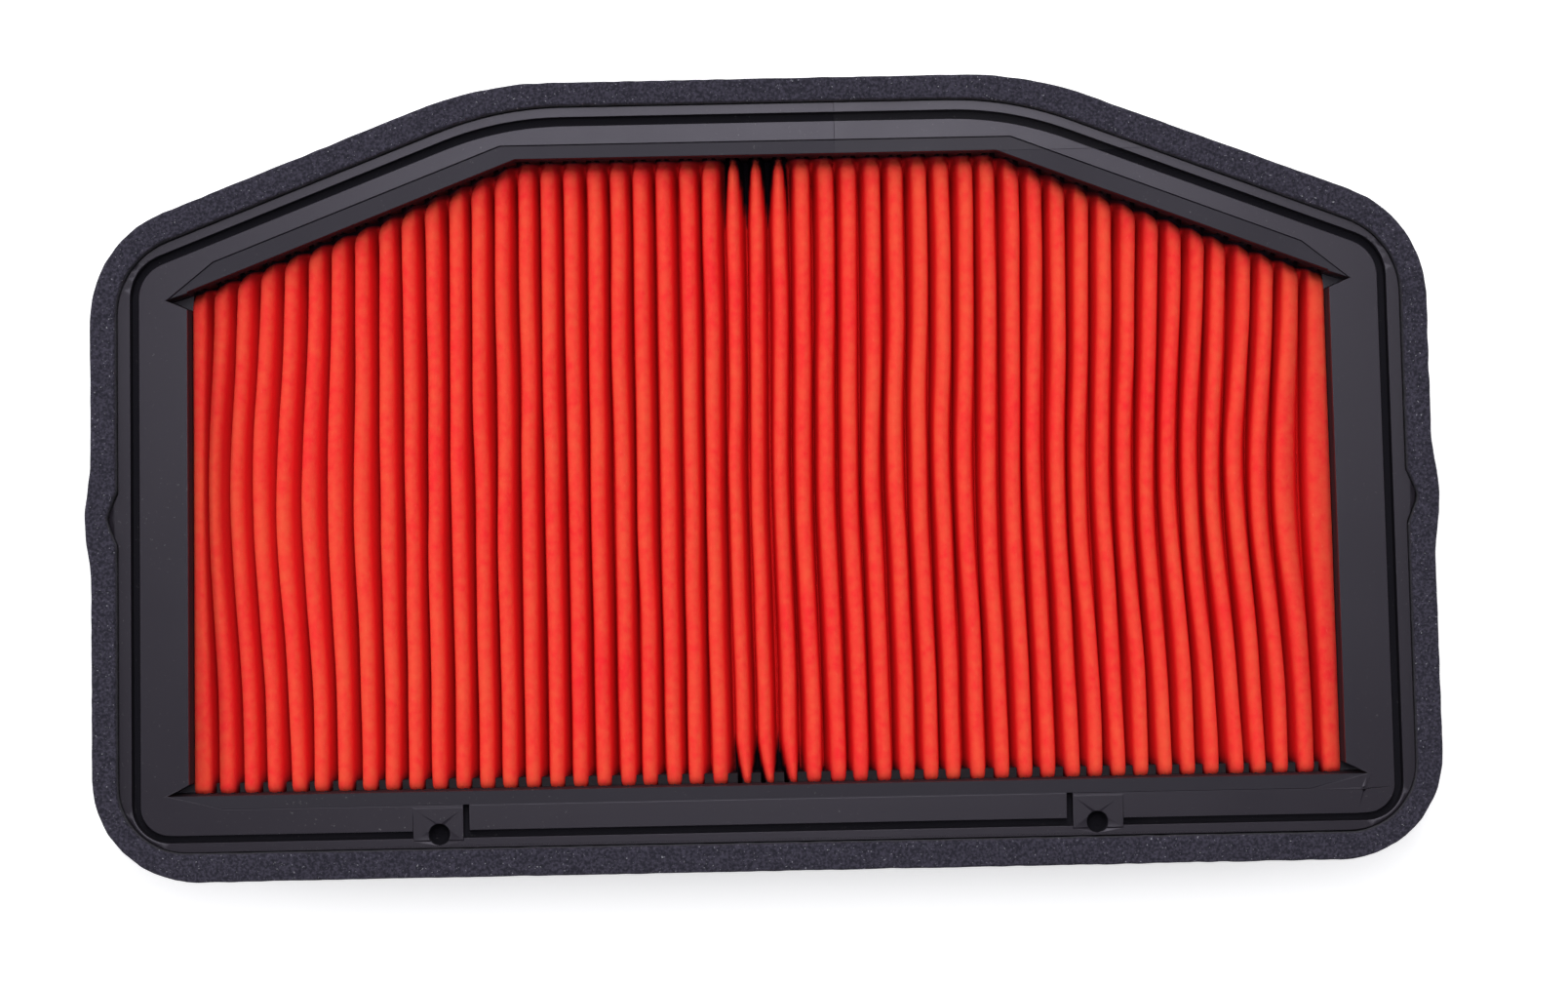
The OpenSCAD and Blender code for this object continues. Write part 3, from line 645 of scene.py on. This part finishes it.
# ---------------------------------------------------------------- foam gasket
# The gasket is a ring cut from a sheet of dark closed-cell foam. Its top edges are soft, and the
# open cells of the cut face show as fine pores with pale flecks.
FOAM = (0.026, 0.028, 0.042)
FOAM_SHADE, FOAM_LIGHT = (0.016, 0.015, 0.024), (0.052, 0.047, 0.070)
FLECK = (0.5, 0.5, 0.55)
FOAM_STEPS = 1500
EDGE_ROUND = 0.0007
WALL_ROW = 0.003
CUT_INSET, CUT_RAGGED = 0.0003, 0.00022
TOP_WORN, TOP_WAVE = 0.0002, 0.00025
LOOP_START_Y = -0.03

gasket_foam, tree, shader = new_material("gasket_foam", FOAM, 0.95)
place = put(tree, "ShaderNodeTexCoord").outputs["Object"]
cells = put(tree, "ShaderNodeTexVoronoi", Vector=place, Scale=1500.0)
pores = Reckon(tree, cells.outputs["Distance"])
rough = speckle(tree, place, 1500.0, 3.0, 0.6)
flecks = speckle(tree, place, 1900.0, 2.0, 0.5).rises(0.68, 0.74)
tint = blend_colour(tree, rough.rises(0.35, 0.7), FOAM_SHADE, FOAM_LIGHT)
tree.links.new(blend_colour(tree, flecks * 0.5, tint, FLECK), shader.inputs["Base Color"])
shader.inputs["Specular IOR Level"].default_value = 0.25
shader.inputs["Sheen Weight"].default_value = 0.05
open_cells = put(tree, "ShaderNodeBump", Strength=0.8, Distance=0.0002, Height=pores * 0.7 + rough * 0.8)
tree.links.new(open_cells.outputs["Normal"], shader.inputs["Normal"])


def edge_loops(node, height):
    """The closed loops of a node's boundary at one height, longest first."""
    body = bmesh.new()
    body.from_mesh(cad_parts[node].data)
    bmesh.ops.remove_doubles(body, verts=body.verts, dist=MERGE)
    flat = [f for f in body.faces
            if abs(f.normal.z) > 0.99 and abs(f.calc_center_median().z - height) < 1e-5]
    rims = {e for f in flat for e in f.edges if sum(g in flat for g in e.link_faces) == 1}
    loops = []
    while rims:
        edge = rims.pop()
        loop = [edge.verts[0], edge.verts[1]]
        while loop[-1] is not loop[0]:
            edge = next(e for e in loop[-1].link_edges if e in rims)
            rims.remove(edge)
            loop.append(edge.other_vert(loop[-1]))
        loops.append(np.array([v.co[:2] for v in loop[:-1]]))
    body.free()
    return sorted(loops, key=lambda loop: np.abs(loop).sum(axis=1).max(), reverse=True)


def evenly(loop, steps):
    """The loop again, counter-clockwise from its right side, in even steps."""
    area = np.sum(loop[:, 0] * np.roll(loop[:, 1], -1) - np.roll(loop[:, 0], -1) * loop[:, 1])
    loop = loop if area > 0 else loop[::-1]
    start = np.argmin(np.abs(loop[:, 1] - LOOP_START_Y) - np.where(loop[:, 0] > 0, 1.0, 0.0))
    loop = np.roll(loop, -start, axis=0)
    closed = np.vstack([loop, loop[:1]])
    run = np.concatenate([[0], np.cumsum(np.hypot(*np.diff(closed, axis=0).T))])
    at = np.linspace(0, run[-1], steps, endpoint=False)
    return np.stack([np.interp(at, run, closed[:, k]) for k in (0, 1)], axis=1)


foam_low, foam_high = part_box("foam_gasket")
outer, inner = (evenly(loop, FOAM_STEPS) for loop in edge_loops("foam_gasket", foam_high[2]))
# The section of the foam, from the inner bottom edge over the top: share across, and height.
section = [(0.0, foam_low[2]), (0.0, foam_low[2] + WALL_ROW), (0.0, foam_high[2] - EDGE_ROUND)]
section += [((1 - cos(t * pi / 8)) * 0.1, foam_high[2] - EDGE_ROUND * (1 - sin(t * pi / 8)))
            for t in (1, 2, 3)]
section += [(t / 10, foam_high[2]) for t in (1, 2.6, 4.2, 5.8, 7.4, 9)]
section += [(1 - s, h) for s, h in section[5:2:-1]] + [(1.0, foam_high[2] - EDGE_ROUND),
                                                      (1.0, foam_low[2] + WALL_ROW), (1.0, foam_low[2])]
vertices = []
for i in range(FOAM_STEPS):
    for share, height in section:
        spot = inner[i] + (outer[i] - inner[i]) * share
        inside = (0.5 - share) * 2
        ragged = noise.noise(Vector((spot[0] * 260, spot[1] * 260, share * 3))) * CUT_RAGGED
        worn = noise.noise(Vector((spot[0] * 90, spot[1] * 90, 5))) * TOP_WAVE + TOP_WORN
        pull = (outer[i] - inner[i]) / np.hypot(*(outer[i] - inner[i]))
        spot = spot + pull * (inside * (CUT_INSET + ragged) if height > foam_low[2] + 0.001 else 0)
        lift = -abs(worn) if height > foam_high[2] - WALL_ROW else 0
        vertices.append((*spot, height + lift))
count = len(section)
faces = [(i * count + j, i * count + (j + 1) % count,
          (i + 1) % FOAM_STEPS * count + (j + 1) % count, (i + 1) % FOAM_STEPS * count + j)
         for i in range(FOAM_STEPS) for j in range(count)]
mesh = bpy.data.meshes.new("foam_ring")
mesh.from_pydata(vertices, [], faces)
body = bmesh.new()
body.from_mesh(mesh)
bmesh.ops.recalc_face_normals(body, faces=body.faces)
body.to_mesh(mesh)
body.free()
mesh.shade_smooth()
mesh.materials.append(gasket_foam)
foam = bpy.data.objects.new("foam_ring", mesh)
bpy.context.collection.objects.link(foam)
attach(foam, "root")
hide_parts("foam_gasket")

# ---------------------------------------------------------------- floor and light
# The filter lies on a plain white table under a wide soft window light from behind.
FLOOR_HALF = 3
FLOOR_WHITE = (0.92, 0.92, 0.93)
ROOM_FRONT, ROOM_BACK = (0.14, 0.14, 0.17), (1.0, 1.0, 1.03)

floor_mesh = bpy.data.meshes.new("floor")
floor_corners = [(x, y, 0) for x, y in ((-1, -1), (1, -1), (1, 1), (-1, 1))]
floor_mesh.from_pydata([Vector(corner) * FLOOR_HALF for corner in floor_corners], [], [(0, 1, 2, 3)])
floor = bpy.data.objects.new("floor", floor_mesh)
bpy.context.collection.objects.link(floor)
floor_paint, tree, shader = new_material("floor_paint", FLOOR_WHITE, 0.9)
shader.inputs["Specular IOR Level"].default_value = 0.0
shader.inputs["Emission Color"].default_value = (1, 1, 1, 1)
shader.inputs["Emission Strength"].default_value = 0.5
floor_mesh.materials.append(floor_paint)

world = bpy.data.worlds.new("studio")
bpy.context.scene.world = world
world.use_nodes = True
tree = world.node_tree
sky = Reckon(tree, put(tree, "ShaderNodeSeparateXYZ",
                       Vector=put(tree, "ShaderNodeTexCoord").outputs["Generated"]).outputs["Y"])
room = blend_colour(tree, sky.rises(-0.35, 0.35), ROOM_FRONT, ROOM_BACK)
tree.links.new(room, tree.nodes["Background"].inputs["Color"])
tree.nodes["Background"].inputs["Strength"].default_value = 0.55


def soft_light(name, spot, aim, size, power):
    lamp = bpy.data.lights.new(name, "AREA")
    lamp.shape = "RECTANGLE"
    lamp.size, lamp.size_y = size
    lamp.energy = power
    light = bpy.data.objects.new(name, lamp)
    light.location = spot
    light.rotation_euler = (Vector(aim) - Vector(spot)).to_track_quat("-Z", "Y").to_euler()
    bpy.context.collection.objects.link(light)


soft_light("window", (0.0, 0.85, 1.6), (0.0, 0.85, 0), (0.5, 1.8), 20.0)
soft_light("left_fill", (-1.4, -0.1, 1.1), (0, 0, 0), (1.0, 1.2), 9.0)
soft_light("right_fill", (1.4, -0.1, 1.1), (0, 0, 0), (1.0, 1.2), 4.0)
